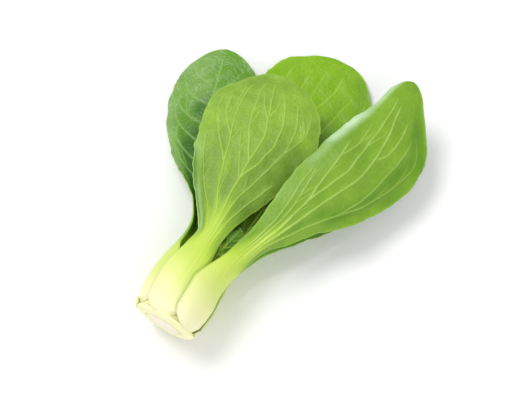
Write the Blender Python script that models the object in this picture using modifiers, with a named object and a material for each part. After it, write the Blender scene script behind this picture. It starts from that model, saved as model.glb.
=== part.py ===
"""A head of green-stemmed bok choy, cut at the root and laid on its side.

Axes: +Y runs from the cut end to the leaf tips, +Z is up. The origin is under the middle of
the head, on the surface that it lies on. Sizes below are in millimetres.
"""

from math import radians

import bpy
import numpy as np

MM = 0.001

# The ring of stalk bases: its centre line, and its radius at each distance along the head.
RING_X = -2.0
RING_Z = 24.0
RING = ((-5.0, 21.2), (4.0, 23.0), (14.0, 24.0), (26.0, 23.2))
INNER_RING = ((8.0, 15.4), (22.0, 16.4))
HEART_RING = ((16.0, 8.0), (24.0, 9.0))

# Each stalk base is turned a little about its own length, so that one edge lies over its
# neighbour and the other edge lies under, all the way round.
OVERLAP_TURN = 9.0

LEAF_ROWS = 18
LEAF_COLUMNS = 8

# Stalk and blade thickness, and the part of the stalk's thickness left at its edges.
STALK_THICK = 4.6
BLADE_THICK = 1.2
STALK_FOOT_THICK = 2.6
EDGE_SHARE = 0.24

# The cut stem: radius at each distance along the head, from the cut face inwards.
STUMP_PROFILE = ((-8.6, 12.0), (-8.3, 18.0), (-7.6, 21.0), (-6.4, 22.2), (-5.4, 21.4), (-5.4, 17.2),
                 (0.0, 17.2), (5.0, 14.0), (10.0, 9.0), (13.0, 4.0))
STUMP_SIDES = 40

# Leaves. "ring" holds the angle of the stalk base round the head, from the top towards +X,
# and half the angle that it covers. "stations" then follow the middle of the leaf's back:
#   x, y, z, facing of the back (from the top towards +X), bend across the leaf (both in
#   degrees), half width on the left and on the right of the stalk.
LEAVES = {
    "leaf_top": {
        "ring": (-5, 35), "layer": RING, "thick": 1.0, "blade_from": 62,
        "stations": (
            (-4, 42, 43.5, -5, 60, 11, 10.5),
            (-3.5, 54, 41, -4, 56, 9.5, 9),
            (-5, 66, 39.5, -3, 48, 12.5, 13.5),
            (-9, 85, 39, -3, 35, 22.5, 26),
            (-13, 110, 39, -3, 30, 34, 37),
            (-15, 133, 38.5, -3, 28, 38.5, 41.5),
            (-17, 154, 36.5, -3, 25, 33.5, 34),
            (-20, 173, 34, -3, 20, 0, 0),
        ),
    },
    "leaf_right": {
        "ring": (59, 50), "layer": RING, "thick": 1.0, "blade_from": 66,
        "stations": (
            (19, 40, 39.5, 48, 70, 11, 12),
            (22.5, 54, 40.5, 42, 64, 9, 9.5),
            (27, 66, 42, 38, 56, 10, 10.5),
            (33, 80, 42.5, 32, 48, 15, 15),
            (39, 96, 42.5, 27, 42, 20, 20),
            (48, 117, 41, 25, 36, 26.5, 27.5),
            (57, 140, 39, 24, 32, 31, 32.5),
            (63, 163, 38, 23, 28, 29, 33),
            (62, 188, 39, 20, 25, 20, 17.5),
            (58, 209, 41, 18, 20, 0, 0),
        ),
    },
    "leaf_left": {
        "ring": (-88, 52), "layer": RING, "thick": 0.95, "blade_from": 70,
        "stations": (
            (-22.5, 42, 22, -91, 72, 10.5, 11),
            (-20.5, 56, 23, -105, 76, 9.5, 9.5),
            (-23, 70, 22, -130, 56, 11, 11),
            (-32, 90, 17, -165, 20, 16, 16),
            (-42, 111, 12, -188, -14, 25, 25),
            (-51, 133, 8, -192, -20, 30, 33),
            (-61, 158, 5, -190, -18, 29, 32),
            (-71, 184, 3, -186, -10, 0, 0),
        ),
    },
    "leaf_under_left": {
        "ring": (-163, 35), "layer": RING, "thick": 0.95, "blade_from": 66,
        "stations": (
            (-9, 42, 3, -160, 60, 10, 9.5),
            (-9, 56, 5, -168, 50, 9, 9),
            (-11, 70, 6, -172, 36, 12, 12),
            (-15, 92, 4, -176, 16, 20, 20),
            (-19, 115, 1, -178, 8, 26, 26),
            (-21, 138, -1, -180, 4, 24, 24),
            (-22, 160, -2, -180, 0, 0, 0),
        ),
    },
    "leaf_under_right": {
        "ring": (137, 31), "layer": RING, "thick": 0.95, "blade_from": 70,
        "stations": (
            (15, 42, 9, 140, 60, 10, 10),
            (19, 56, 9.5, 145, 50, 9, 9),
            (23, 72, 9, 160, 36, 12, 12),
            (30, 94, 6, 172, 16, 18, 18),
            (40, 118, 2.5, 178, 10, 22, 22),
            (47, 142, -0.5, 181, 6, 19, 19),
            (51, 162, -2, 182, 0, 0, 0),
        ),
    },
    "leaf_back": {
        "ring": (177, 42), "layer": INNER_RING, "thick": 0.75, "blade_from": 74,
        "stations": (
            (0, 40, 10, 178, 70, 10.5, 10.5),
            (2, 56, 11, 178, 60, 9.5, 9.5),
            (2, 74, 11.5, 180, 46, 12, 12),
            (1, 98, 10, 180, 22, 24, 20),
            (1, 125, 7, 180, 12, 33, 28),
            (2, 156, 4.5, 180, 6, 41, 38),
            (3, 187, 2, 180, 4, 39.5, 39.5),
            (3, 208, 0.5, 180, 2, 24, 28),
            (2, 218, -0.5, 180, 0, 0, 0),
        ),
    },
    "inner_leaf_right": {
        "ring": (76, 33), "layer": INNER_RING, "thick": 0.7, "blade_from": 72,
        "stations": (
            (12, 42, 24.5, 64, 60, 6, 7.5),
            (11, 58, 22.5, 42, 54, 6.5, 7),
            (12, 76, 21, 15, 42, 11, 11),
            (14, 100, 21, 8, 30, 18, 18),
            (18, 125, 21, 6, 24, 20, 20),
            (20, 147, 20, 4, 10, 0, 0),
        ),
    },
    "inner_leaf_left": {
        "ring": (-76, 40), "layer": INNER_RING, "thick": 0.7, "blade_from": 72,
        "stations": (
            (-13, 42, 27, -72, 64, 7.5, 7.5),
            (-10, 58, 29, -50, 54, 6.5, 6.5),
            (-11, 76, 29.5, -16, 42, 8.5, 10),
            (-14, 98, 29, -5, 30, 16, 16),
            (-16, 120, 29.5, -3, 24, 18, 18),
            (-17, 140, 30, 0, 10, 0, 0),
        ),
    },
    "heart_leaf_upper": {
        "ring": (15, 50), "layer": HEART_RING, "thick": 0.45, "blade_from": 40,
        "stations": (
            (2.5, 36, 34, 16, 60, 5, 5),
            (6, 46, 35, 14, 40, 7, 7),
            (9, 57, 35, 10, 30, 8, 8),
            (11, 67, 34, 5, 10, 0, 0),
        ),
    },
    "heart_leaf_lower": {
        "ring": (-120, 50), "layer": HEART_RING, "thick": 0.45, "blade_from": 40,
        "stations": (
            (-7, 36, 20, -115, 60, 5.5, 5.5),
            (-4, 48, 20, -140, 40, 7, 7),
            (-1, 60, 20, -165, 24, 7.5, 7.5),
            (1, 74, 20, -175, 10, 0, 0),
        ),
    },
}

# Bases of old outer leaves, trimmed off short: angle round the head and half the angle
# covered, then distance along the head and radius at the cut and where the stub ends.
STUBS = {
    "stub_left": {"ring": (-92, 29), "along": ((-4.6, 24.1), (-1.5, 24.8), (3.5, 26.4))},
    "stub_under": {"ring": (133, 23), "along": ((-4.6, 23.6), (-1.5, 24.2), (3.5, 25.8))},
}
STUB_THICK = 1.3
STUB_ROWS = 4

COLOURS = {
    "leaf_top": (0.30, 0.49, 0.06), "leaf_right": (0.22, 0.39, 0.05),
    "leaf_left": (0.18, 0.37, 0.07), "leaf_back": (0.26, 0.48, 0.03),
    "leaf_under_left": (0.22, 0.40, 0.06), "leaf_under_right": (0.22, 0.40, 0.06),
    "inner_leaf_left": (0.20, 0.38, 0.05), "inner_leaf_right": (0.20, 0.38, 0.05),
    "heart_leaf_upper": (0.08, 0.18, 0.02), "heart_leaf_lower": (0.12, 0.24, 0.03),
    "stump": (0.83, 0.79, 0.48), "stub_left": (0.88, 0.87, 0.50), "stub_under": (0.88, 0.87, 0.50),
}
LEAF_ROUGHNESS = 0.42


def clear_scene():
    for item in list(bpy.data.objects):
        bpy.data.objects.remove(item, do_unlink=True)


def head_collection():
    collection = bpy.data.collections.new("bok_choy")
    bpy.context.scene.collection.children.link(collection)
    return collection


def surface_material(name):
    """Plant tissue: not metallic, with a waxy half gloss."""
    material = bpy.data.materials.new(name)
    material.use_nodes = True
    shader = material.node_tree.nodes["Principled BSDF"]
    shader.inputs["Base Color"].default_value = (*COLOURS[name], 1.0)
    shader.inputs["Roughness"].default_value = LEAF_ROUGHNESS
    shader.inputs["Metallic"].default_value = 0.0
    return material


def file_under(collection, item, name):
    for holder in list(item.users_collection):
        holder.objects.unlink(item)
    collection.objects.link(item)
    item.name = name
    item.data.name = name
    item.data.materials.append(surface_material(name))
    return item


def smooth_between(knots, values, at):
    """Values at the places in at, on one smooth curve through values at the knots."""
    slopes = np.gradient(values, knots, axis=0)
    left = np.clip(np.searchsorted(knots, at, side="right") - 1, 0, len(knots) - 2)
    span = (knots[left + 1] - knots[left])[:, None]
    f = (at - knots[left])[:, None] / span
    start, end = values[left], values[left + 1]
    return (start * (1 + 2 * f) * (1 - f) ** 2 + slopes[left] * span * f * (1 - f) ** 2
            + end * f ** 2 * (3 - 2 * f) + slopes[left + 1] * span * f ** 2 * (f - 1))


def ring_stations(ring, along, turn):
    """Stations of a stalk base that lies against the ring of its layer."""
    angle, half_cover = ring
    rows = []
    for y, radius in along:
        x = RING_X + radius * np.sin(radians(angle))
        z = RING_Z + radius * np.cos(radians(angle))
        half_width = radius * radians(half_cover)
        rows.append((x, y, z, angle + turn, 2 * half_cover, half_width, half_width))
    return rows


def leaf_points(stations, rows, columns):
    """The leaf's back surface, as rows x columns points, and how far along each row lies."""
    table = np.array(stations, dtype=float)
    steps = np.linalg.norm(np.diff(table[:, :3], axis=0), axis=1)
    knots = np.concatenate(([0.0], np.cumsum(steps)))
    table[:, 5:] = table[:, 5:] ** 2
    at = knots[-1] * (1 - (1 - np.linspace(0, 1, rows)) ** 1.35)
    line = smooth_between(knots, table, at)
    width = np.sqrt(np.clip(line[:, 5:], 0.8, None))
    spine = line[:, :3]

    tangent = np.gradient(spine, at, axis=0)
    tangent /= np.linalg.norm(tangent, axis=1)[:, None]
    facing = np.radians(line[:, 3])
    normal = np.stack([np.sin(facing), np.zeros(rows), np.cos(facing)], axis=1)
    normal -= tangent * np.sum(normal * tangent, axis=1)[:, None]
    normal /= np.linalg.norm(normal, axis=1)[:, None]
    side = np.cross(tangent, normal)

    across = np.linspace(-1, 1, columns)
    half_bend = np.radians(line[:, 4]) / 2
    half_bend = np.where(np.abs(half_bend) < 0.01, 0.01, half_bend)
    turn = across[None, :] * half_bend[:, None]
    reach = np.where(across[None, :] < 0, width[:, :1], width[:, 1:]) / half_bend[:, None]
    points = (spine[:, None, :] + side[:, None, :] * (reach * np.sin(turn))[:, :, None]
              - normal[:, None, :] * (reach * (1 - np.cos(turn)))[:, :, None])
    return points, spine[:, 1], across


def sheet(name, points, weights, thick, collection):
    """A grid laid on the points and thickened inwards by thick times each point's weight."""
    rows, columns = points.shape[:2]
    bpy.ops.mesh.primitive_grid_add(x_subdivisions=columns - 1, y_subdivisions=rows - 1, size=1)
    item = bpy.context.object
    group = item.vertex_groups.new(name="thickness")
    for vertex in item.data.vertices:
        column = round((vertex.co.x + 0.5) * (columns - 1))
        row = round((vertex.co.y + 0.5) * (rows - 1))
        vertex.co = points[row, column] * MM
        group.add([vertex.index], float(weights[row, column]), "REPLACE")
    item.data.shade_smooth()
    wall = item.modifiers.new("wall", "SOLIDIFY")
    wall.thickness = thick * MM
    wall.offset = -1
    wall.vertex_group = group.name
    return file_under(collection, item, name)


def leaf(name, collection):
    """A stalk, crescent in section, that thins into its blade."""
    spec = LEAVES[name]
    base = ring_stations(spec["ring"], spec["layer"], OVERLAP_TURN)
    points, along, across = leaf_points(base + list(spec["stations"]), LEAF_ROWS, LEAF_COLUMNS + 1)
    foot = spec["layer"][0][0]
    stalk_thick = STALK_THICK * spec["thick"]
    middle = np.interp(along, (foot, foot + 14, spec["blade_from"] - 10, spec["blade_from"] + 14),
                       (STALK_FOOT_THICK * spec["thick"], stalk_thick, stalk_thick, BLADE_THICK))
    edge = np.maximum(middle * EDGE_SHARE, BLADE_THICK * 0.9)
    depth = edge[:, None] + (middle - edge).clip(0)[:, None] * (1 - across[None, :] ** 2)
    return sheet(name, points, depth / STALK_THICK, STALK_THICK, collection)


def stub(name, collection):
    spec = STUBS[name]
    stations = ring_stations(spec["ring"], spec["along"], 0.0)
    points, along, across = leaf_points(stations, STUB_ROWS, LEAF_COLUMNS + 1)
    fall = np.interp(along, (spec["along"][0][0], spec["along"][-1][0]), (1.0, 0.5))
    weights = fall[:, None] * (1 - 0.5 * across[None, :] ** 2)
    return sheet(name, points, weights, STUB_THICK, collection)


def stump(collection):
    """The cut stem: its profile, from the inner end down to the cut face, turned about the head."""
    profile = [(0.0, STUMP_PROFILE[-1][0] + 0.6)]
    profile += [(radius, y) for y, radius in reversed(STUMP_PROFILE)]
    profile += [(0.0, STUMP_PROFILE[0][0])]
    mesh = bpy.data.meshes.new("stump")
    mesh.from_pydata([(radius * MM, 0.0, y * MM) for radius, y in profile],
                     [(i, i + 1) for i in range(len(profile) - 1)], [])
    item = bpy.data.objects.new("stump", mesh)
    bpy.context.scene.collection.objects.link(item)
    item.location = (RING_X * MM, 0.0, RING_Z * MM)
    item.rotation_euler = (radians(-90), 0.0, 0.0)
    turned = item.modifiers.new("turned", "SCREW")
    turned.steps = turned.render_steps = STUMP_SIDES
    turned.use_merge_vertices = True
    turned.merge_threshold = 0.0001
    return file_under(collection, item, "stump")


def rest_on_floor(items):
    """Moves all the pieces together, so that the head stands centred on its origin."""
    bpy.context.view_layer.update()
    graph = bpy.context.evaluated_depsgraph_get()
    corners = np.array([item.matrix_world @ vertex.co for item in items
                        for vertex in item.evaluated_get(graph).data.vertices])
    low, high = corners.min(axis=0), corners.max(axis=0)
    for item in items:
        item.location.x -= (low[0] + high[0]) / 2
        item.location.y -= (low[1] + high[1]) / 2
        item.location.z -= low[2]


def main():
    clear_scene()
    collection = head_collection()
    items = [stump(collection)]
    items += [stub(name, collection) for name in STUBS]
    items += [leaf(name, collection) for name in LEAVES]
    rest_on_floor(items)


main()
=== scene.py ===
import math

import bpy
import numpy as np
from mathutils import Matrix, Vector


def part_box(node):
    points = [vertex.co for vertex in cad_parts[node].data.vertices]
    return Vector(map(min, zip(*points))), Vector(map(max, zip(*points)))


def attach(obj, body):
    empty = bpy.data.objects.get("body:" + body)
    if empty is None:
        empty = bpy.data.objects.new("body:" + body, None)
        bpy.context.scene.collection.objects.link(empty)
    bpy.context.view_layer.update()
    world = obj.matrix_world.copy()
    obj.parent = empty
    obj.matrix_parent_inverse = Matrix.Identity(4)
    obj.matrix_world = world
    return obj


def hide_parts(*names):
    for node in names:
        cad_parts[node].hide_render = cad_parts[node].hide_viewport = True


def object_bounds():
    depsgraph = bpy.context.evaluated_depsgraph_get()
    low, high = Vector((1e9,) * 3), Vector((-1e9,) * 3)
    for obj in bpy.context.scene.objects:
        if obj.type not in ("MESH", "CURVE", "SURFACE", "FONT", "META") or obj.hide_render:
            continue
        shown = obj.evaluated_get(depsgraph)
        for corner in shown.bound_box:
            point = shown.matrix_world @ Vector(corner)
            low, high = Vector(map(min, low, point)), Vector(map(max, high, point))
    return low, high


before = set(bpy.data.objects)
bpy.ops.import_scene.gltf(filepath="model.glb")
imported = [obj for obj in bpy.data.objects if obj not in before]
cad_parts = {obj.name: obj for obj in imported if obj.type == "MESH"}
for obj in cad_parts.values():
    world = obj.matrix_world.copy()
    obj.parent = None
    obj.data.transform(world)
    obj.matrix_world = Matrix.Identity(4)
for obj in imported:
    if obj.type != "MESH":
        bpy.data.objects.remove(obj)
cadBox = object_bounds()
bpy.ops.object.select_all(action="DESELECT")
print("frame loaded:", len(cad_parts), "nodes")

mm = 0.001

# Where the head's own measuring point lies: the stem's box tells where the CAD put it.
stemLow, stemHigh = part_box("stump")
ringX, ringZ = -2.0, 24.0
headAt = np.array((
    (stemLow[0] + stemHigh[0]) / 2 - ringX * mm,
    stemLow[1] + 8.6 * mm,
    (stemLow[2] + stemHigh[2]) / 2 - ringZ * mm,
))

# Stalk feet, in mm: distance along the head, and from its middle line.
outerRing = ((-6.6, 19.8), (-4.2, 21.5), (3.0, 23.0), (14.0, 24.0), (26.0, 23.2))
innerRing = ((8.0, 15.4), (22.0, 16.4))
heartRing = ((16.0, 8.0), (24.0, 9.0))
overlapTurn = 9.0  # degrees, one edge of each stalk over its neighbour
stalkThick = 4.4  # mm, the middle of an outer stalk
bladeThick = 0.7  # mm
boxMargin = dict(low=(0.9, 0.1, 0.8), high=(0.9, 0.9, 0.5))  # mm, left free inside the CAD box
curlFade = 0.09  # share of the length over which a curled margin comes and goes
drawnMaps = ("vein", "soft", "tone", "rim", "paintedSheen", "paintedShade")


def hexColour(text):
    # sRGB hex to linear red, green, blue, alpha
    parts = [int(text[i:i + 2], 16) / 255 for i in (1, 3, 5)]
    return tuple(p / 12.92 if p <= 0.04045 else ((p + 0.055) / 1.055) ** 2.4 for p in parts) + (1.0,)


def addNode(tree, kind, settings, inputs):
    # adds a node, sets its properties, and gives each input socket a value or a link
    node = tree.nodes.new(kind)
    for key, value in settings.items():
        setattr(node, key, value)
    for key, value in inputs.items():
        if isinstance(value, bpy.types.NodeSocket):
            tree.links.new(value, node.inputs[key])
        else:
            node.inputs[key].default_value = value
    return node


def newMaterial(name):
    material = bpy.data.materials.new(name)
    material.use_nodes = True
    tree = material.node_tree
    return material, tree, tree.nodes["Principled BSDF"]


def patternScale(size):
    # how often a pattern repeats in a metre, from its real size in mm
    return 1 / (size * mm)


def softStep(x, low, high):
    t = np.clip((x - low) / (high - low), 0, 1)
    return t * t * (3 - 2 * t)


def waves(x, y, size, rng, count=7):
    # a smooth random field, about -1 to 1, whose lumps are about "size" across
    total = np.zeros(np.broadcast(x, y).shape)
    for _ in range(count):
        angle = rng.uniform(0, 2 * math.pi)
        pitch = size * rng.uniform(0.75, 1.6)
        phase = rng.uniform(0, 2 * math.pi)
        total = total + np.sin((x * math.cos(angle) + y * math.sin(angle)) * 2 * math.pi / pitch + phase)
    return total / math.sqrt(count)


def smoothBetween(knots, values, at):
    # a smooth curve through the values, read at the wanted places
    slopes = np.gradient(values, knots, axis=0)
    left = np.clip(np.searchsorted(knots, at, side="right") - 1, 0, len(knots) - 2)
    span = (knots[left + 1] - knots[left])[:, None]
    f = (at - knots[left])[:, None] / span
    return (values[left] * (1 + 2 * f) * (1 - f) ** 2 + slopes[left] * span * f * (1 - f) ** 2
            + values[left + 1] * f ** 2 * (3 - 2 * f) + slopes[left + 1] * span * f ** 2 * (f - 1))


def unit(vectors):
    return vectors / np.linalg.norm(vectors, axis=-1, keepdims=True)


def ringStations(ring, along, turn):
    # the foot of a stalk, wrapped round the stem
    angle, halfCover = ring
    rows = []
    for y, radius in along:
        x = ringX + radius * math.sin(math.radians(angle))
        z = ringZ + radius * math.cos(math.radians(angle))
        width = radius * math.radians(halfCover)
        rows.append((x, y, z, angle + turn, 2 * halfCover, width, width))
    return rows


def layLeaf(spec, rows, columns):
    # rows x columns points on the leaf's back, with the frame that they are bent in
    table = np.array(ringStations(spec["ring"], spec["layer"], spec.get("turn", overlapTurn))
                     + list(spec["stations"]), dtype=float)
    steps = np.linalg.norm(np.diff(table[:, :3], axis=0), axis=1)
    knots = np.concatenate(([0.0], np.cumsum(steps)))
    table[:, 5:] = table[:, 5:] ** 2  # blended as squares, so that the tip closes in a round
    length = knots[-1]
    at = length * (1 - (1 - np.linspace(0, 1, rows)) ** 1.35)  # rows lie closer towards the tip
    line = smoothBetween(knots, table, at)
    width = np.sqrt(np.clip(line[:, 5:], 0.5, None))
    spine = line[:, :3]
    tangent = unit(np.gradient(spine, at, axis=0))
    facing = np.radians(line[:, 3])
    normal = np.stack([np.sin(facing), np.zeros(rows), np.cos(facing)], axis=1)
    normal = unit(normal - tangent * np.sum(normal * tangent, axis=1)[:, None])
    side = np.cross(tangent, normal)

    across = np.linspace(-1, 1, columns)
    s = at / length
    slope = np.radians(line[:, 4])[:, None] / 2 * across[None, :]
    for edge, start, end, reach, degrees in spec.get("curls", ()):
        # a margin that curls: from "reach" of the half width outwards, over part of the length
        run = softStep(s, start, start + curlFade) * (1 - softStep(s, end - curlFade, end))
        beyond = np.clip((across * edge - reach) / (1 - reach), 0, 1)
        slope = slope + edge * math.radians(degrees) * run[:, None] * beyond[None, :] ** 1.2
    half = np.where(across[None, :] < 0, width[:, :1], width[:, 1:])
    rng = np.random.default_rng(spec["seed"])
    size, pitch = spec.get("scallop", (0.35, 7.0))
    edgeNoise = np.stack([waves(at, 0 * at + row, pitch, rng) for row in (0, 9)], axis=1)
    edgeNoise *= size * softStep(at, spec["bladeAt"], spec["bladeAt"] + 25)[:, None]
    nearEdge = np.abs(across[None, :]) ** 6
    half = half + nearEdge * np.where(across[None, :] < 0, edgeNoise[:, :1], edgeNoise[:, 1:])

    middle = columns // 2
    step = across[1] - across[0]
    reachOut = np.cos(slope)
    drop = np.sin(slope)

    def sumFromMiddle(values):
        mid = (values[:, 1:] + values[:, :-1]) / 2 * step
        total = np.concatenate([np.zeros((rows, 1)), np.cumsum(mid, axis=1)], axis=1)
        return total - total[:, middle:middle + 1]

    out = sumFromMiddle(reachOut) * half
    down = sumFromMiddle(drop) * half
    points = (spine[:, None, :] + side[:, None, :] * out[:, :, None]
              - normal[:, None, :] * down[:, :, None])
    return points, at, across, half, length


def surfaceNormals(points):
    alongRows = np.gradient(points, axis=0)
    acrossRow = np.gradient(points, axis=1)
    return unit(np.cross(acrossRow, alongRows))


def vein(thick, *path):
    # a vein's path in (share of the length, share of the half width) from the stalk outwards
    return dict(thick=thick, path=np.array(path, dtype=float))


def growVeins(spec, rng):
    # side veins that leave the midrib one after another, and twigs that leave every vein
    veins = list(spec.get("veins", ()))
    grow = spec.get("grow")
    if grow:
        middle = grow.get("middle", 0.0)
        span = grow["last"] - grow["first"]
        veins.append(vein(1.0, (0.05, 0.0), (0.6, middle), (0.98, 0.0)))
        for side in (-1, 1):
            for i in range(grow["perSide"]):
                start = grow["first"] + span * (i + 0.25 * (side + 1)) / grow["perSide"]
                end = min(0.97, start + grow["reach"] + rng.uniform(-0.02, 0.02))
                out = side * rng.uniform(0.86, 0.98)
                thick = 0.75 - 0.35 * i / grow["perSide"]
                bend = ((start * 2 + end) / 3, middle + out * 0.42)
                veins.append(vein(thick, (start, middle * 0.8), bend, (end, out)))
    for main in list(veins):
        low, high = main["path"][0, 0], main["path"][-1, 0]
        for _ in range(spec["twigs"]):
            start = rng.uniform(low * 0.6 + high * 0.4, high)
            if start < spec["veinsFrom"] + 0.06:
                continue
            across = float(np.interp(start, main["path"][:, 0], main["path"][:, 1]))
            turn = rng.choice((-1, 1)) * rng.uniform(0.08, 0.15)
            if start < 0.84:  # none so near the tip that it would run off the leaf
                end = (start + rng.uniform(0.07, 0.11), across + turn)
                veins.append(vein(0.22, (start, across), end))
    return veins


# Half widths in mm: of a vein's ridge and of the pale strip along it, first as they are in the
# finest twig, then what a main vein adds. The last is how far a stalk's paleness follows a vein.
veinShape = dict(ridge=0.30, ridgeMain=0.55, pale=2.4, paleMain=2.6, stalkStreak=1.7)
patchFade = dict(along=0.05, across=0.12)  # shares of the length and of the half width
edgeLine = 0.9  # mm, the band that is drawn along a leaf's edge


def leafFields(spec, at, across, half, length):
    # the maps drawn on a leaf: veins (sharp and soft), stalk to blade, rim, painted sheen, painted shade,
    # and lumps
    rng = np.random.default_rng(spec["seed"] + 100)
    s = (at / length)[:, None]
    v = across[None, :]
    b = v * half
    bladeAt = spec["bladeAt"]
    sharp = np.zeros(b.shape)
    soft = np.zeros(b.shape)
    base = np.zeros(b.shape)
    fade = softStep(at, bladeAt - 26, bladeAt + 6)[:, None]
    for one in growVeins(spec, rng):
        path = one["path"]
        low, high = path[0, 0], min(path[-1, 0], 0.985)
        wander = 0.008 * waves(at, 0 * at, 16.0, rng, 3)[:, None]
        if len(path) > 2:
            place = smoothBetween(path[:, 0], path[:, 1:], np.clip(s[:, 0], path[0, 0], path[-1, 0]))
        else:
            place = np.interp(s, path[:, 0], path[:, 1])
        place = place + wander
        alive = softStep(s, low - 0.004, low + 0.012) * (1 - softStep(s, high - 0.045, high))
        thin = 1 - 0.6 * np.clip((s - low) / (high - low), 0, 1)
        lean = np.abs(np.gradient(place[:, 0] * half[:, across.size // 2], at))[:, None]
        gap = np.abs(v - place) * half / np.sqrt(1 + lean ** 2)
        ridge = veinShape["ridge"] + veinShape["ridgeMain"] * one["thick"] * thin
        pale = veinShape["pale"] + veinShape["paleMain"] * one["thick"]
        strength = (0.35 + 0.65 * one["thick"]) * (0.45 + 0.55 * thin) * alive
        sharp = np.maximum(sharp, strength * np.exp(-(gap / ridge) ** 2))
        soft = np.maximum(soft, strength * np.exp(-(gap / pale) ** 2))
        if one["thick"] > 0.55:
            base = np.maximum(base, alive * np.exp(-(gap / veinShape["stalkStreak"]) ** 2))
    base = base * (1 - softStep(at, bladeAt - 2, bladeAt + 42)[:, None])

    # 0 at the cut foot, about 1 where the blade begins; the blade starts sooner along the edges
    tone = (at[:, None] - 6) / bladeAt - 0.36 * base * softStep(at, bladeAt - 22, bladeAt + 4)[:, None]
    tone = tone + 0.75 * np.abs(v) ** 1.6 * softStep(at, bladeAt - 34, bladeAt + 4)[:, None]
    # painted shade: each stalk is drawn greener towards its plus side across, the side of its round that is
    # in shade
    tone = np.clip(tone + 0.12 * v * softStep(at, 6, 36)[:, None], 0, 2)

    drift = waves(at[:, None], b, 17.0, rng, 6)
    nearEdge = np.exp(-((1 - np.abs(v)) * half / edgeLine) ** 2)
    # painted shade: the stalk is darker along its edges, in the slits where it meets its neighbours
    slit = 1 - softStep(at, bladeAt - 20, bladeAt)[:, None]
    patches = dict(paintedSheen=np.zeros(b.shape), paintedShade=0.30 * slit * nearEdge)
    along, beside = patchFade["along"], patchFade["across"]
    for kind, s0, s1, v0, v1, strength in spec.get("patches", ()):
        area = (softStep(s, s0 - along, s0 + along) * (1 - softStep(s, s1 - along, s1 + along))
                * softStep(v, v0 - beside, v0 + beside) * (1 - softStep(v, v1 - beside, v1 + beside)))
        patches[kind] = np.maximum(patches[kind], strength * area * np.clip(1 + 0.28 * drift, 0, 1.6))
    rim = softStep(np.abs(v) * half, 0, 1) * nearEdge
    lumps = waves(at[:, None], b, 11.0, rng, 9)
    fineLumps = waves(at[:, None] + 30, b, 4.6, rng, 9)
    ribs = waves(at[:, None] / 14, b, 2.4, rng, 9)
    return dict(vein=sharp * fade, soft=soft * fade, tone=tone, rim=rim, paintedSheen=patches["paintedSheen"],
                paintedShade=patches["paintedShade"], lumps=lumps, fineLumps=fineLumps, ribs=ribs)


def layGrid(name, points):
    # a grid whose crossings are moved onto the points, given in mm from the head's own point
    rows, columns = points.shape[:2]
    bpy.ops.object.select_all(action="DESELECT")
    bpy.ops.mesh.primitive_grid_add(x_subdivisions=columns - 1, y_subdivisions=rows - 1, size=1,
                                    calc_uvs=True)
    piece = bpy.context.object
    piece.name = name
    co = np.empty(len(piece.data.vertices) * 3)
    piece.data.vertices.foreach_get("co", co)
    co = co.reshape(-1, 3)
    column = np.rint((co[:, 0] + 0.5) * (columns - 1)).astype(int)
    row = np.rint((co[:, 1] + 0.5) * (rows - 1)).astype(int)
    piece.data.vertices.foreach_set("co", (points[row, column] * mm + headAt).ravel())
    return piece, row, column


def addMap(mesh, name, values):
    layer = mesh.attributes.new(name, "FLOAT", "POINT")
    layer.data.foreach_set("value", values.astype(np.float32))


def laidFlat(at, across, half):
    # where each point would be with the leaf pressed flat, in mm: across (60 is its middle), then along
    return np.stack([across[None, :] * half + 60, at[:, None] + 0 * half], axis=2)


def makeSheet(name, points, fields, weights, thick, materials, uvs):
    # a grid laid on the points, then thickened inwards into one closed skin
    piece, row, column = layGrid(name, points)
    mesh = piece.data
    for field, values in fields.items():
        addMap(mesh, field, values[row, column])
    corner = np.empty(len(mesh.loops), dtype=np.int32)
    mesh.loops.foreach_get("vertex_index", corner)
    flat = uvs[row, column][corner] * mm
    mesh.uv_layers[0].name = "leafMap"
    mesh.uv_layers[0].data.foreach_set("uv", flat.ravel().astype(np.float32))
    group = piece.vertex_groups.new(name="thickness")
    level = np.rint(weights[row, column] * 60) / 60
    for value in np.unique(level):
        group.add(np.nonzero(level == value)[0].tolist(), float(value), "REPLACE")
    for material in materials:
        mesh.materials.append(material)
    bpy.ops.object.shade_smooth()
    wall = piece.modifiers.new("wall", "SOLIDIFY")
    wall.thickness = thick * mm
    wall.offset = -1
    wall.vertex_group = group.name
    wall.material_offset = 1
    wall.material_offset_rim = 0
    bpy.ops.object.modifier_apply(modifier=wall.name)
    mesh.update()
    return piece


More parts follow.
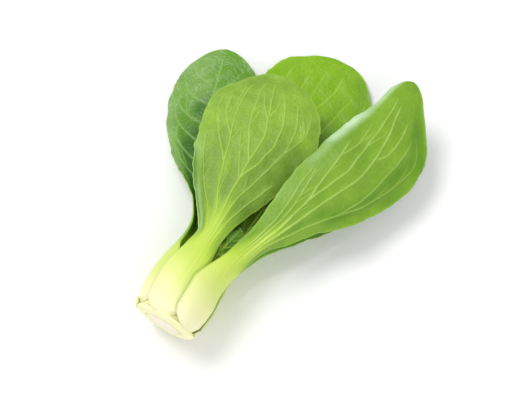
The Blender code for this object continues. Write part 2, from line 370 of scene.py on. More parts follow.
def makeLeaf(spec):
    rows, columns = spec.get("detail", (226, 211))
    points, at, across, half, length = layLeaf(spec, rows, columns)
    fields = leafFields(spec, at, across, half, length)
    rng = np.random.default_rng(spec["seed"] + 7)
    v = across[None, :]
    bladeAt = spec["bladeAt"]
    blade = softStep(at, bladeAt - 12, bladeAt + 22)[:, None]
    stalk = softStep(at, 14, 40)[:, None] * (1 - softStep(at, bladeAt + 5, bladeAt + 30)[:, None])
    tipCalm = 1 - softStep(at, length * 0.985, length)[:, None]

    # relief, in mm along the surface's own normal: raised veins, puckered blade, ribbed stalk
    relief = fields["vein"] * spec.get("veinHigh", 1.0) + fields["soft"] * spec.get("swell", 0.8)
    puckers = 0.20 * fields["lumps"] + 0.05 * fields["fineLumps"]
    relief = relief + blade * tipCalm * puckers * spec.get("pucker", 1.0)
    relief = relief + stalk * 0.07 * fields["ribs"] * (1 - 0.6 * v ** 2)
    wrap = softStep(at, 2, 12)[:, None] * (1 - softStep(at, bladeAt - 34, bladeAt - 8)[:, None])
    relief = relief + wrap * spec["thick"] * (0.8 * (1 - v ** 2) - 0.9 * np.abs(v) ** 6)
    ruffleHigh, rufflePitch = spec["ruffle"]
    ripple = np.stack([waves(at, 0 * at + row, rufflePitch, rng, 4) for row in (3, 40)], axis=1)
    sideRipple = np.where(v < 0, ripple[:, :1], ripple[:, 1:])
    relief = relief + blade * tipCalm * ruffleHigh * sideRipple * np.abs(v) ** 3.5
    points = points + surfaceNormals(points) * relief[:, :, None]
    points[:, :, 1] += 4.0 * np.abs(v) ** 3 * (1 - softStep(at, 0, 14)[:, None])  # round foot
    low, high = ((np.array(corner) - headAt) / mm for corner in cadBox)
    points = np.clip(points, low + boxMargin["low"], high - boxMargin["high"])

    foot = spec["layer"][0][0]
    stalkDepth = stalkThick * spec["thick"]
    spineY = points[:, across.size // 2, 1]
    middle = np.interp(spineY, (foot, foot + 14, bladeAt - 16, bladeAt + 10),
                       (2.5 * spec["thick"], stalkDepth, stalkDepth, bladeThick))
    edge = np.maximum(middle * 0.24, bladeThick * 0.8)
    depth = edge[:, None] + (middle - edge).clip(0)[:, None] * (1 - v ** 2)
    drawn = {key: fields[key] for key in drawnMaps}
    piece = makeSheet(spec["name"], points, drawn, depth / stalkThick, stalkThick, spec["materials"],
                      laidFlat(at, across, half))
    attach(piece, "root")
    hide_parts(spec["node"])
    print("leaf made:", spec["name"], len(piece.data.polygons), "faces")
    return piece


# Pattern sizes in mm. A leaf's pores are about 0.03 mm, too fine to show, so they are drawn coarser.
leafPattern = dict(toneDrift=26.3, mottling=2.381, veinNet=3.333, pores=0.4545)
stalkColours = (
    (0.00, "#f2f1c0"),  # cut foot, almost no green
    (0.14, "#e9eda8"),
    (0.28, "#dbe785"),
    (0.45, "#cde168"),
    (0.68, "#bfd94e"),
    (0.92, "#a4c636"),
)


def leafTissue(name, look):
    # Bok choy leaf: waxy skin over soft green tissue that pales to cream down the stalk.
    # The wax gives a broad half gloss; veins are pale and fine cells make a faint net.
    material, tree, shader = newMaterial(name)
    maps = {key: addNode(tree, "ShaderNodeAttribute", {"attribute_name": key}, {}).outputs["Fac"]
            for key in drawnMaps}
    uv = addNode(tree, "ShaderNodeUVMap", {"uv_map": "leafMap"}, {}).outputs["UV"]
    place = addNode(tree, "ShaderNodeTexCoord", {}, {}).outputs["Object"]

    clouds = addNode(tree, "ShaderNodeTexNoise", {},
                     {"Vector": place, "Scale": patternScale(leafPattern["toneDrift"]), "Detail": 3.0,
                      "Roughness": 0.6}).outputs["Fac"]
    speckle = addNode(tree, "ShaderNodeTexNoise", {},
                      {"Vector": uv, "Scale": patternScale(leafPattern["mottling"]),
                       "Detail": 2.0}).outputs["Fac"]
    cells = addNode(tree, "ShaderNodeTexVoronoi", {"feature": "DISTANCE_TO_EDGE"},
                    {"Vector": uv, "Scale": patternScale(leafPattern["veinNet"])}).outputs["Distance"]
    net = addNode(tree, "ShaderNodeMapRange", {},
                  {"Value": cells, "From Min": 0.0, "From Max": 0.16,
                   "To Min": 1.0, "To Max": 0.0}).outputs["Result"]

    drift = addNode(tree, "ShaderNodeMapRange", {},
                    {"Value": clouds, "From Min": 0.32, "From Max": 0.68}).outputs["Result"]
    blade = addNode(tree, "ShaderNodeMix", {"data_type": "RGBA"},
                    {0: drift, 6: hexColour(look["dark"]), 7: hexColour(look["light"])}).outputs[2]
    mottled = addNode(tree, "ShaderNodeMix", {"data_type": "RGBA", "blend_type": "SOFT_LIGHT"},
                      {0: 0.20, 6: blade, 7: speckle}).outputs[2]
    netShare = addNode(tree, "ShaderNodeMath", {"operation": "MULTIPLY"},
                       {0: net, 1: look["net"]}).outputs[0]
    netted = addNode(tree, "ShaderNodeMix", {"data_type": "RGBA"},
                     {0: netShare, 6: mottled, 7: hexColour(look["vein"])}).outputs[2]

    # stalk colours, then the blade's own colour from where the blade begins
    ramp = addNode(tree, "ShaderNodeValToRGB", {}, {"Fac": maps["tone"]})
    stops = ramp.color_ramp.elements
    stops[0].position, stops[0].color = stalkColours[0][0], hexColour(stalkColours[0][1])
    stops[1].position, stops[1].color = stalkColours[-1][0], hexColour(stalkColours[-1][1])
    for position, colour in stalkColours[1:-1]:
        stops.new(position).color = hexColour(colour)
    bladeShare = addNode(tree, "ShaderNodeMapRange", {"interpolation_type": "SMOOTHSTEP"},
                         {"Value": maps["tone"], "From Min": 0.86, "From Max": 1.28}).outputs["Result"]
    body = addNode(tree, "ShaderNodeMix", {"data_type": "RGBA"},
                   {0: bladeShare, 6: ramp.outputs["Color"], 7: netted}).outputs[2]

    # what is drawn over it: the map, how much of it shows at most, and its colour
    overlays = (
        # painted shade: darker green over troughs, hollows and the slits between stalks
        ("paintedShade", 0.9, look["paintedShade"]),
        # painted sheen: a painted reflection of the light, silvery grey-green, on glossy rolled margins
        ("paintedSheen", 0.55, look["paintedSheen"]),
        ("soft", look["softShare"], look["vein"]),
        ("vein", look["veinShare"], look["vein"]),
        ("rim", 0.35, look["vein"]),
    )
    colour = body
    for drawn, most, shade in overlays:
        share = addNode(tree, "ShaderNodeMath", {"operation": "MULTIPLY", "use_clamp": True},
                        {0: maps[drawn], 1: most}).outputs[0]
        colour = addNode(tree, "ShaderNodeMix", {"data_type": "RGBA"},
                         {0: share, 6: colour, 7: hexColour(shade)}).outputs[2]
    tree.links.new(colour, shader.inputs["Base Color"])

    gloss = addNode(tree, "ShaderNodeMapRange", {},
                    {"Value": speckle, "To Min": look["rough"] - 0.06, "To Max": look["rough"] + 0.08})
    tree.links.new(gloss.outputs["Result"], shader.inputs["Roughness"])
    shader.inputs["IOR"].default_value = 1.42
    # light soaks in by up to 2.5 mm, green the furthest
    shader.inputs["Subsurface Weight"].default_value = 0.12
    shader.inputs["Subsurface Radius"].default_value = (0.5, 1.0, 0.15)
    shader.inputs["Subsurface Scale"].default_value = 0.0025

    pores = addNode(tree, "ShaderNodeTexNoise", {},
                    {"Vector": uv, "Scale": patternScale(leafPattern["pores"]),
                     "Detail": 1.0}).outputs["Fac"]
    bladeNet = addNode(tree, "ShaderNodeMath", {"operation": "MULTIPLY"},
                       {0: net, 1: bladeShare}).outputs[0]
    raised = addNode(tree, "ShaderNodeBump", {"invert": look["netBump"] < 0},
                     {"Height": bladeNet, "Strength": abs(look["netBump"]), "Distance": 0.0005})
    skin = addNode(tree, "ShaderNodeBump", {},
                   {"Height": pores, "Strength": 0.12, "Distance": 0.0002,
                    "Normal": raised.outputs["Normal"]})
    tree.links.new(skin.outputs["Normal"], shader.inputs["Normal"])
    return material


# Each look below holds a colour of painted shade and a colour of painted sheen, laid over the leaf.
# Back of an outer leaf under its full coat of wax: pale, a little grey, with a dull sheen.
backOfTop = leafTissue("paleLeafBack", dict(
    dark="#729726", light="#8ab232", vein="#aed05c", paintedShade="#587e10", paintedSheen="#98bb6c",
    net=0.05, softShare=0.12, veinShare=0.85, rough=0.46, netBump=0.25,
))
# Back of a leaf with its wax thin: greener and glossier, with painted sheen, a painted reflection of the
# light, in silvery patches.
backOfRight = leafTissue("greenLeafBack", dict(
    dark="#6f9a20", light="#80aa28", vein="#aacc58", paintedShade="#528606", paintedSheen="#c2deb4",
    net=0.05, softShare=0.14, veinShare=0.9, rough=0.36, netBump=0.25,
))
# Upper face of an outer leaf: deep green and the shiniest, with its net of cells sunk in.
faceDeep = leafTissue("deepLeafFace", dict(
    dark="#578c1a", light="#6a9e28", vein="#98c064", paintedShade="#2f6602", paintedSheen="#98b478",
    net=0.05, softShare=0.08, veinShare=0.8, rough=0.34, netBump=-0.3,
))
# Upper face of a tender leaf: bright yellowish green with a softer shine.
faceBright = leafTissue("brightLeafFace", dict(
    dark="#78aa06", light="#8aba0c", vein="#b0d44c", paintedShade="#629604", paintedSheen="#a0c848",
    net=0.04, softShare=0.10, veinShare=0.8, rough=0.42, netBump=-0.25,
))
# Heart leaf, not yet spread: dark green, with its cells crowded into deep creases.
youngLeaf = leafTissue("youngLeaf", dict(
    dark="#3f6d10", light="#5f8f22", vein="#86ac3c", paintedShade="#2f5a08", paintedSheen="#8fb060",
    net=0.10, softShare=0.15, veinShare=0.7, rough=0.34, netBump=-0.5,
))
print("leaf materials made")

# ring: angle round the stem, and half of what the foot covers (degrees)
# bladeAt: distance from the foot to where the blade begins (mm)
# stations: x, y, z, facing of the back, bend across, half widths left and right (mm, degrees)
# curls: side, start and end along the leaf, where across it the curl begins, degrees
# patches: map (painted shade or painted sheen), start and end along, start and end across, strength
# ruffle and scallop: height and pitch of the waves in the blade and in its outline (mm)
leafTop = dict(
    name="leafTop", node="leaf_top", slot="outer_leaf", seed=11,
    ring=(-5, 35), layer=outerRing, thick=1.0, bladeAt=68,
    stations=(
        (-4, 42, 43.5, -5, 60, 11, 10.5),
        (-3.5, 54, 41, -4, 56, 9.5, 9),
        (-5, 66, 39.5, -3, 48, 15.5, 13.5),
        (-9, 85, 39, -3, 35, 26.5, 26),
        (-13, 110, 39, -3, 30, 34, 37),
        (-15, 133, 38.5, -3, 28, 38.5, 41.5),
        (-17, 154, 36.5, -3, 25, 33.5, 34),
        (-20, 173, 34, -3, 20, 0, 0),
    ),
    curls=((-1, 0.30, 0.66, 0.74, -125),),
    ruffle=(0.8, 18.0), veinsFrom=0.34, twigs=4,
    veins=(
        vein(1.0, (0.05, -0.02), (0.35, 0.02), (0.46, 0.06), (0.56, 0.12), (0.64, 0.15), (0.73, 0.17),
             (0.81, 0.10), (0.90, 0.00), (0.97, -0.10)),
        vein(0.9, (0.10, -0.25), (0.38, -0.20), (0.44, -0.19), (0.50, -0.26), (0.60, -0.30),
             (0.65, -0.32), (0.70, -0.36), (0.77, -0.43), (0.87, -0.50), (0.95, -0.58)),
        vein(0.6, (0.60, -0.30), (0.66, -0.48), (0.72, -0.66), (0.79, -0.80)),
        vein(0.5, (0.70, -0.36), (0.76, -0.55), (0.82, -0.70), (0.87, -0.82)),
        vein(0.3, (0.80, -0.45), (0.88, -0.62)),
        vein(0.55, (0.555, 0.11), (0.62, -0.02), (0.70, -0.17)),
        vein(0.7, (0.63, 0.15), (0.69, 0.01), (0.76, -0.13), (0.86, -0.22), (0.97, -0.36)),
        vein(0.5, (0.805, 0.11), (0.85, -0.04), (0.93, -0.20)),
        vein(0.45, (0.82, 0.10), (0.88, 0.17), (0.94, 0.12)),
        vein(0.75, (0.56, 0.13), (0.63, 0.29), (0.69, 0.36), (0.76, 0.38), (0.85, 0.33), (0.95, 0.16)),
        vein(0.7, (0.12, 0.25), (0.36, 0.24), (0.46, 0.27), (0.55, 0.42), (0.62, 0.52), (0.72, 0.57),
             (0.80, 0.58), (0.92, 0.52)),
        vein(0.4, (0.71, 0.57), (0.78, 0.70), (0.84, 0.80)),
        vein(0.6, (0.14, 0.50), (0.34, 0.46), (0.44, 0.58), (0.52, 0.72), (0.60, 0.84)),
        vein(0.6, (0.14, -0.50), (0.36, -0.44), (0.43, -0.50), (0.50, -0.62), (0.60, -0.76),
             (0.69, -0.84)),
    ),
    # painted sheen on the curled left margin; painted shade beside the curl and over the sides of the blade
    patches=(("paintedSheen", 0.32, 0.52, -1.1, -0.74, 1.5), ("paintedSheen", 0.44, 0.66, -1.1, -0.84, 1.4),
             ("paintedShade", 0.34, 0.62, -0.76, -0.60, 0.7), ("paintedShade", 0.40, 0.76, 0.24, 1.10, 0.60),
             ("paintedShade", 0.43, 0.66, -0.20, 0.06, 0.55), ("paintedShade", 0.38, 0.70, -0.62, -0.30, 0.45)),
    materials=(backOfTop, faceDeep),
)
leafRight = dict(
    name="leafRight", node="leaf_right", slot="outer_leaf", seed=23,
    ring=(59, 50), layer=outerRing, thick=1.0, bladeAt=72,
    stations=(
        (19, 40, 39.5, 48, 70, 11, 12),
        (22.5, 54, 40.5, 42, 64, 9, 9.5),
        (27, 66, 42, 38, 56, 10, 10.5),
        (33, 80, 42.5, 32, 48, 15, 15),
        (39, 96, 42.5, 27, 42, 20, 20),
        (48, 117, 41, 25, 36, 26.5, 27.5),
        (57, 140, 39, 24, 32, 31, 32.5),
        (63, 163, 38, 23, 28, 29, 33),
        (62, 188, 39, 20, 25, 20, 17.5),
        (58, 209, 41, 18, 20, 0, 0),
    ),
    curls=((-1, 0.52, 1.0, 0.66, 60), (1, 0.55, 1.05, 0.35, 24), (1, 0.5, 1.0, 0.72, -60)),
    ruffle=(0.5, 30.0), scallop=(0.2, 8.0), veinsFrom=0.33, twigs=3,
    veinHigh=0.9, veins=(
        vein(1.0, (0.05, 0.05), (0.30, 0.10), (0.39, 0.03), (0.44, -0.05), (0.505, -0.13),
             (0.55, -0.28), (0.60, -0.38), (0.66, -0.48), (0.73, -0.58)),
        vein(0.75, (0.50, -0.13), (0.56, -0.12), (0.63, -0.12), (0.68, -0.17), (0.73, -0.25),
             (0.78, -0.31), (0.86, -0.33), (0.95, -0.36)),
        vein(0.95, (0.12, 0.30), (0.36, 0.25), (0.45, 0.22), (0.55, 0.17), (0.62, 0.15), (0.69, 0.12),
             (0.74, 0.05), (0.78, -0.02), (0.85, -0.10), (0.93, -0.14)),
        vein(0.6, (0.735, 0.06), (0.765, 0.16), (0.82, 0.20), (0.90, 0.32)),
        vein(0.6, (0.14, 0.55), (0.37, 0.50), (0.46, 0.58), (0.56, 0.62), (0.62, 0.58), (0.69, 0.50),
             (0.76, 0.42), (0.86, 0.50)),
        vein(0.45, (0.55, 0.62), (0.63, 0.70), (0.74, 0.72), (0.82, 0.80)),
        vein(0.5, (0.14, -0.45), (0.34, -0.35), (0.42, -0.42), (0.48, -0.56), (0.54, -0.72)),
        vein(0.5, (0.14, -0.25), (0.33, -0.16), (0.40, -0.20), (0.46, -0.30), (0.53, -0.50),
             (0.60, -0.72)),
        vein(0.5, (0.66, -0.48), (0.70, -0.42), (0.78, -0.48)),
    ),
    # painted sheen on the rolled left margin and over the left half; painted shade in the trough on the
    # right
    patches=(("paintedSheen", 0.66, 0.97, -1.1, -0.78, 1.5), ("paintedSheen", 0.58, 0.70, -1.0, -0.74, 0.5),
             ("paintedSheen", 0.36, 0.66, -1.1, -0.45, 0.14), ("paintedShade", 0.50, 0.84, 0.50, 0.78, 0.75),
             ("paintedShade", 0.68, 0.90, 0.45, 1.1, 0.6), ("paintedShade", 0.38, 0.56, 0.32, 0.60, 0.5)),
    materials=(backOfRight, faceDeep),
)
leafLeft = dict(
    name="leafLeft", node="leaf_left", slot="outer_leaf", seed=31,
    ring=(-88, 52), layer=outerRing, thick=0.95, bladeAt=72,
    stations=(
        (-22.5, 42, 22, -91, 72, 10.5, 11),
        (-20.5, 56, 23, -105, 76, 9.5, 9.5),
        (-23, 70, 22, -130, 56, 11, 11),
        (-32, 90, 17, -165, 20, 16, 16),
        (-42, 111, 12, -188, -14, 25, 25),
        (-51, 133, 8, -192, -20, 30, 33),
        (-61, 158, 5, -190, -18, 29, 32),
        (-71, 184, 3, -186, -10, 0, 0),
    ),
    ruffle=(0.8, 20.0), veinsFrom=0.36, twigs=3,
    grow=dict(perSide=6, first=0.42, last=0.90, reach=0.13, middle=0.14),
    # painted sheen along the plus-side margin and over the tip; painted shade over the middle of the blade
    patches=(("paintedSheen", 0.48, 1.1, 0.80, 1.2, 0.7), ("paintedSheen", 0.80, 1.1, 0.10, 1.2, 0.45),
             ("paintedShade", 0.30, 0.70, -0.3, 0.72, 1.15), ("paintedShade", 0.60, 0.82, -0.3, 0.40, 0.7)),
    veinHigh=-0.3, materials=(backOfRight, faceDeep),
)
leafUnderLeft = dict(
    name="leafUnderLeft", node="leaf_under_left", slot="outer_leaf", detail=(180, 121), seed=41,
    ring=(-163, 35), layer=outerRing, thick=0.95, bladeAt=70,
    stations=(
        (-9, 42, 3, -160, 60, 10, 9.5),
        (-9, 56, 5, -168, 50, 9, 9),
        (-11, 70, 6, -172, 36, 12, 12),
        (-15, 92, 4, -176, 16, 20, 20),
        (-19, 115, 1, -178, 8, 26, 26),
        (-21, 138, -1, -180, 4, 24, 24),
        (-22, 160, -2, -180, 0, 0, 0),
    ),
    ruffle=(0.5, 18.0), veinsFrom=0.36, twigs=3, grow=dict(perSide=5, first=0.42, last=0.88, reach=0.16),
    materials=(backOfRight, faceDeep),
)
leafUnderRight = dict(
    name="leafUnderRight", node="leaf_under_right", slot="outer_leaf", detail=(180, 121), seed=43, turn=2.0,
    ring=(137, 31), layer=outerRing, thick=0.95, bladeAt=72,
    stations=(
        (15, 42, 9, 140, 60, 10, 10),
        (19, 56, 9.5, 145, 50, 9, 9),
        (23, 72, 9, 160, 36, 12, 12),
        (30, 94, 6, 172, 16, 18, 18),
        (40, 118, 2.5, 178, 10, 22, 22),
        (47, 142, -0.5, 181, 6, 19, 19),
        (51, 162, -2, 182, 0, 0, 0),
    ),
    ruffle=(0.5, 18.0), veinsFrom=0.36, twigs=3, grow=dict(perSide=5, first=0.42, last=0.88, reach=0.16),
    materials=(backOfRight, faceDeep),
)
leafBack = dict(
    name="leafBack", node="leaf_back", slot="bright_leaf", seed=53,
    ring=(177, 42), layer=innerRing, thick=0.75, bladeAt=78,
    stations=(
        (0, 40, 10, 178, 70, 10.5, 10.5),
        (2, 56, 11, 178, 60, 9.5, 9.5),
        (2, 74, 11.5, 180, 46, 12, 12),
        (1, 98, 10, 180, 22, 24, 20),
        (1, 125, 7, 180, 12, 33, 28),
        (2, 156, 4.5, 180, 6, 41, 38),
        (3, 187, 2, 180, 4, 39.5, 39.5),
        (3, 208, 0.5, 180, 2, 24, 28),
        (2, 218, -0.5, 180, 0, 0, 0),
    ),
    ruffle=(0.6, 26.0), veinHigh=-0.3, veinsFrom=0.36, twigs=2,
    veins=(
        vein(0.9, (0.05, 0.0), (0.60, 0.10), (0.76, 0.00), (0.86, -0.16), (0.96, -0.30)),
        vein(0.6, (0.42, 0.03), (0.66, 0.24), (0.83, 0.33), (0.93, 0.42)),
        vein(0.6, (0.46, 0.03), (0.62, -0.24), (0.73, -0.36), (0.82, -0.42), (0.92, -0.62)),
        vein(0.5, (0.40, 0.03), (0.60, 0.44), (0.80, 0.60), (0.92, 0.76)),
        vein(0.5, (0.42, 0.02), (0.58, -0.44), (0.76, -0.66), (0.86, -0.82)),
        vein(0.4, (0.60, 0.10), (0.74, 0.14), (0.86, 0.12), (0.95, 0.16)),
    ),
    # painted shade on parts of the blade
    patches=(("paintedShade", 0.60, 0.80, -0.75, -0.25, 0.5), ("paintedShade", 0.30, 0.70, -0.6, 0.6, 0.5),
             ("paintedShade", 0.84, 0.97, -1.1, -0.62, 0.5)),
    materials=(faceBright, faceBright),
)
innerLeafRight = dict(
    name="innerLeafRight", node="inner_leaf_right", slot="inner_leaf", seed=61, detail=(170, 71),
    ring=(76, 33), layer=innerRing, thick=0.7, bladeAt=62,
    stations=(
        (12, 42, 24.5, 64, 60, 6, 7.5),
        (11, 58, 22.5, 42, 54, 6.5, 7),
        (12, 76, 21, 15, 42, 11, 11),
        (14, 100, 21, 8, 30, 18, 18),
        (18, 125, 21, 6, 24, 20, 20),
        (20, 147, 20, 4, 10, 0, 0),
    ),
    ruffle=(0.8, 14.0), veinsFrom=0.36, twigs=3, grow=dict(perSide=4, first=0.42, last=0.85, reach=0.16),
    # painted shade over the whole blade, which lies in the hollow under the outer leaves
    patches=(("paintedShade", 0.3, 1.1, -1.1, 1.1, 0.7),),
    materials=(backOfRight, faceDeep),
)
innerLeafLeft = dict(
    name="innerLeafLeft", node="inner_leaf_left", slot="inner_leaf", seed=67, detail=(170, 71),
    ring=(-76, 40), layer=innerRing, thick=0.7, bladeAt=62,
    stations=(
        (-13, 42, 27, -72, 64, 7.5, 7.5),
        (-10, 58, 29, -50, 54, 6.5, 6.5),
        (-11, 76, 29.5, -16, 42, 8.5, 10),
        (-14, 98, 29, -5, 30, 16, 16),
        (-16, 120, 29.5, -3, 24, 18, 18),
        (-17, 140, 30, 0, 10, 0, 0),
    ),
    ruffle=(0.8, 14.0), veinsFrom=0.36, twigs=3, grow=dict(perSide=4, first=0.42, last=0.85, reach=0.16),
    # painted shade over the whole blade, which lies in the hollow under the outer leaves
    patches=(("paintedShade", 0.3, 1.1, -1.1, 1.1, 0.7),),
    materials=(backOfRight, faceDeep),
)
heartLeafUpper = dict(
    name="heartLeafUpper", node="heart_leaf_upper", slot="heart_leaf", seed=71, detail=(110, 51),
    ring=(15, 50), layer=heartRing, thick=0.45, bladeAt=24,
    stations=(
        (2.5, 36, 34, 16, 60, 5, 5),
        (6, 46, 35, 14, 40, 7, 7),
        (9, 57, 35, 10, 30, 8, 8),
        (11, 67, 34, 5, 10, 0, 0),
    ),
    ruffle=(0.7, 7.0), pucker=1.6, veinsFrom=0.3, twigs=2,
    grow=dict(perSide=4, first=0.36, last=0.85, reach=0.2),
    materials=(youngLeaf, youngLeaf),
)
heartLeafLower = dict(
    name="heartLeafLower", node="heart_leaf_lower", slot="heart_leaf", seed=73, detail=(110, 51),
    ring=(-120, 50), layer=heartRing, thick=0.45, bladeAt=28,
    stations=(
        (-7, 36, 20, -115, 60, 5.5, 5.5),
        (-4, 48, 20, -140, 40, 7, 7),
        (-1, 60, 20, -165, 24, 7.5, 7.5),
        (1, 74, 20, -175, 10, 0, 0),
    ),
    ruffle=(0.7, 7.0), pucker=1.6, veinsFrom=0.3, twigs=2,
    grow=dict(perSide=4, first=0.36, last=0.85, reach=0.2),
    materials=(youngLeaf, youngLeaf),
)
for spec in (leafTop, leafRight, leafLeft, leafUnderLeft, leafUnderRight, leafBack,
             innerLeafRight, innerLeafLeft, heartLeafUpper, heartLeafLower):
    makeLeaf(spec)


stubShape = dict(detail=(46, 81), thick=1.8, reach=23.6, slot="trimmed_base")  # thick, reach: mm


def makeStub(spec):
    # the foot of a stalk and nothing more: its blade would begin far past its end
    points, at, across, half, length = layLeaf(
        dict(spec, stations=(), turn=0.0, bladeAt=999), *stubShape["detail"])
    rng = np.random.default_rng(spec["seed"])
    v = across[None, :]
    rise = (at / length)[:, None]
    # the upper edge falls away towards both ends and is a little uneven
    arch = np.sqrt(np.clip(1 - np.abs(v) ** 2.5, 0, 1))
    arch = arch * (1 + 0.10 * waves(across * 20, 0 * across, 9.0, rng)[None, :])
    low = points[:1, :, :]
    points = low + (points - low) * arch[:, :, None]
    points[:, :, 0] = np.maximum(points[:, :, 0], ringX - stubShape["reach"])
    weights = (1 - 0.75 * rise ** 1.5) * (1 - 0.45 * v ** 2)
    tone = 0.04 + 0.16 * rise + 0 * v
    fields = dict({key: 0 * tone for key in drawnMaps}, tone=tone, rim=0.4 * rise + 0 * v)
    piece = makeSheet(spec["name"], points, fields, weights, stubShape["thick"], (backOfTop, backOfTop),
                      laidFlat(at, across, half))
    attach(piece, "root")
    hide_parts(spec["node"])
    return piece


stubs = (
    dict(name="stubLeft", node="stub_left", ring=(-92, 29), seed=81,
         layer=((-7.4, 20.6), (-5.6, 22.4), (-1.5, 23.0))),
    dict(name="stubUnder", node="stub_under", ring=(133, 23), seed=83,
         layer=((-7.2, 19.8), (-4.0, 21.4), (1.0, 22.4))),
)
for spec in stubs:
    makeStub(spec)
print("stubs made")


stemPattern = dict(fibres=1.111, patches=8.333)  # mm
stemRings = (  # share of the stem's ringsEnd, and colour
    (0.00, "#f9efde"),  # pith
    (0.42, "#f9eeda"),
    (0.52, "#efe9b6"),
    (0.57, "#e9e4a4"),  # vessels
    (0.66, "#fbf8cc"),
    (0.86, "#f8f5bc"),
    (1.00, "#f1f0bd"),  # rind
)


def cutStemTissue():
    # Freshly cut stem: moist flesh with a weak, broad shine. A faintly pink pith, a ring of
    # darker, yellower vessels round it, and cream flesh out to the rind.
    material, tree, shader = newMaterial("cutStemFlesh")
    radius = addNode(tree, "ShaderNodeAttribute", {"attribute_name": "radius"}, {}).outputs["Fac"]
    place = addNode(tree, "ShaderNodeTexCoord", {}, {}).outputs["Object"]
    fibres = addNode(tree, "ShaderNodeTexNoise", {},
                     {"Vector": place, "Scale": patternScale(stemPattern["fibres"]),
                      "Detail": 3.0}).outputs["Fac"]
    patches = addNode(tree, "ShaderNodeTexNoise", {},
                      {"Vector": place, "Scale": patternScale(stemPattern["patches"]),
                       "Detail": 2.0}).outputs["Fac"]
    jitter = addNode(tree, "ShaderNodeMath", {"operation": "MULTIPLY_ADD"},
                     {0: patches, 1: 0.10, 2: -0.05}).outputs[0]
    moved = addNode(tree, "ShaderNodeMath", {"operation": "ADD"}, {0: radius, 1: jitter}).outputs[0]
    ramp = addNode(tree, "ShaderNodeValToRGB", {}, {"Fac": moved})
    stops = ramp.color_ramp.elements
    stops[0].position, stops[0].color = stemRings[0][0], hexColour(stemRings[0][1])
    stops[1].position, stops[1].color = stemRings[-1][0], hexColour(stemRings[-1][1])
    for position, colour in stemRings[1:-1]:
        stops.new(position).color = hexColour(colour)
    tinted = addNode(tree, "ShaderNodeMix", {"data_type": "RGBA", "blend_type": "SOFT_LIGHT"},
                     {0: 0.45, 6: ramp.outputs["Color"], 7: fibres}).outputs[2]
    tree.links.new(tinted, shader.inputs["Base Color"])
    shader.inputs["Roughness"].default_value = 0.5
    shader.inputs["IOR"].default_value = 1.38
    shader.inputs["Subsurface Weight"].default_value = 0.2
    shader.inputs["Subsurface Radius"].default_value = (1.0, 0.8, 0.4)
    shader.inputs["Subsurface Scale"].default_value = 0.003
    grain = addNode(tree, "ShaderNodeBump", {}, {"Height": fibres, "Strength": 0.35, "Distance": 0.0004})
    tree.links.new(grain.outputs["Normal"], shader.inputs["Normal"])
    return material


stem = dict(
    # distance along the head and radius, from the middle of the cut face to the inner end (mm)
    profile=((-8.25, 0.4), (-8.35, 6.0), (-8.55, 11.6), (-8.1, 13.0), (-8.3, 15.0), (-8.1, 18.0),
             (-7.4, 20.2), (-6.3, 20.9), (-5.4, 20.3), (-4.6, 19.0), (-3.0, 18.2), (0.0, 17.1),
             (5.0, 13.9), (10.0, 8.9), (13.2, 3.0), (13.4, 0.4)),
    rows=110, sides=180, seed=91,
    lobes=0.009,  # how far the outline is out of round, as a share of the radius
    inset=0.25, faceEnd=-8.58,  # mm, to stay inside the CAD box
    dentDeep=0.16, dentWide=5.0,  # mm, how uneven the cut and the rim are
    ringsEnd=22.0,  # mm, the radius that stemRings counts as 1
)


def makeStem():
    profile = np.array(stem["profile"])
    knots = np.concatenate(([0.0], np.cumsum(np.linalg.norm(np.diff(profile, axis=0), axis=1))))
    at = np.linspace(0, knots[-1], stem["rows"])
    line = np.stack([np.interp(at, knots, profile[:, k]) for k in (0, 1)], axis=1)
    for _ in range(5):  # rounds the corners of the profile
        line[1:-1] = (line[:-2] + 2 * line[1:-1] + line[2:]) / 4
    rng = np.random.default_rng(stem["seed"])
    angle = np.linspace(0, 2 * math.pi, stem["sides"] + 1)
    lobes = sum(rng.uniform(0.3, 1.0) * np.cos(k * angle + rng.uniform(0, 6.28)) for k in (2, 3, 5))
    outOfRound = stem["lobes"] * lobes[None, :] * softStep(line[:, 1], 10, 20)[:, None]
    radius = np.clip(line[:, 1][:, None] * (1 + outOfRound) - stem["inset"], 0.02, None)
    sideways = radius * np.sin(angle)[None, :]
    upwards = radius * np.cos(angle)[None, :]
    dents = stem["dentDeep"] * waves(upwards, sideways, stem["dentWide"], rng, 8)
    y = np.maximum(line[:, 0][:, None] + dents, stem["faceEnd"])
    piece, row, column = layGrid("cutStem", np.stack([ringX + sideways, y, ringZ + upwards], axis=2))
    addMap(piece.data, "radius", (radius / stem["ringsEnd"])[row, column])
    piece.data.materials.append(cutStemTissue())
    bpy.ops.object.mode_set(mode="EDIT")
    bpy.ops.mesh.select_all(action="SELECT")
    bpy.ops.mesh.remove_doubles(threshold=0.00006)
    bpy.ops.mesh.fill_holes(sides=0)
    bpy.ops.mesh.select_all(action="SELECT")
    bpy.ops.mesh.normals_make_consistent(inside=False)
    bpy.ops.object.mode_set(mode="OBJECT")
    bpy.ops.object.shade_smooth()
    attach(piece, "root")
    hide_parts("stump")
    return piece


makeStem()
print("cut stem made")


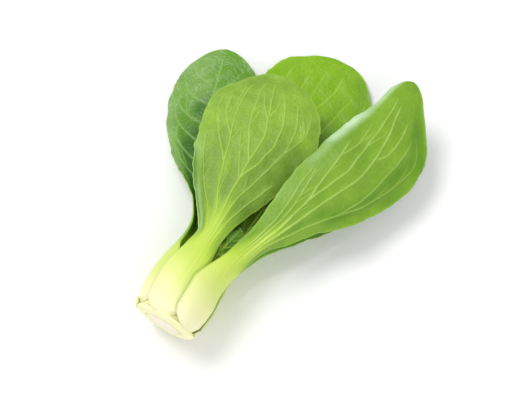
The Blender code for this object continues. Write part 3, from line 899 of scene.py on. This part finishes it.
def paleFloor():
    bpy.ops.object.select_all(action="DESELECT")
    bpy.ops.mesh.primitive_plane_add(size=6.0, location=(0, 0, 0))
    floor = bpy.context.object
    floor.name = "paleFloor"
    # White paper: matt and even, so that it shows the shadow and nothing else.
    material, tree, shader = newMaterial("mattWhitePaper")
    place = addNode(tree, "ShaderNodeTexCoord", {}, {}).outputs["Object"]
    drift = addNode(tree, "ShaderNodeTexNoise", {},  # its tone drifts over a third of a metre
                    {"Vector": place, "Scale": patternScale(333.3)}).outputs["Fac"]
    tint = addNode(tree, "ShaderNodeMix", {"data_type": "RGBA"},
                   {0: drift, 6: hexColour("#fafafa"), 7: hexColour("#fcfcfc")}).outputs[2]
    tree.links.new(tint, shader.inputs["Base Color"])
    shader.inputs["Roughness"].default_value = 0.9
    floor.data.materials.append(material)
    return floor


lights = dict(
    key=dict(at=(-0.62, 0.12, 1.16), size=0.65, power=9.2, colour="#ffffff"),
    fill=dict(at=(0.75, -0.75, 0.9), size=1.2, power=5.2, colour="#ffffff"),
    room=0.62,
)


def studioLight():
    for name in ("key", "fill"):
        spec = lights[name]
        bpy.ops.object.light_add(type="AREA", location=spec["at"])
        lamp = bpy.context.object
        lamp.name = name + "Light"
        lamp.data.shape = "DISK"
        lamp.data.size = spec["size"]
        lamp.data.energy = spec["power"]
        lamp.data.color = hexColour(spec["colour"])[:3]
        lamp.rotation_euler = (-Vector(spec["at"])).to_track_quat("-Z", "Y").to_euler()
    world = bpy.data.worlds.new("softRoom")
    bpy.context.scene.world = world
    world.use_nodes = True
    sky = world.node_tree.nodes["Background"]
    sky.inputs["Color"].default_value = (1.0, 1.0, 1.0, 1.0)
    sky.inputs["Strength"].default_value = lights["room"]


cameraView = dict(azimuth=30.0, elevation=70.0, distance=0.8088, lens=85.0, sensor=36.0,
                  aim=(0.0015, -0.0046, 0.0004))  # degrees, metres, and mm for the lens


def addCamera():
    turn, lift = math.radians(cameraView["azimuth"]), math.radians(cameraView["elevation"])
    back = Vector((math.sin(turn) * math.cos(lift), -math.cos(turn) * math.cos(lift), math.sin(lift)))
    aim = Vector(cameraView["aim"])
    bpy.ops.object.camera_add(location=aim + back * cameraView["distance"])
    camera = bpy.context.object
    camera.rotation_euler = (-back).to_track_quat("-Z", "Y").to_euler()
    camera.data.lens = cameraView["lens"]
    camera.data.sensor_width = cameraView["sensor"]
    camera.data.clip_start = 0.01
    bpy.context.scene.camera = camera


paleFloor()
studioLight()
addCamera()
bpy.context.scene.view_settings.view_transform = "Standard"
print("floor, light and camera set")
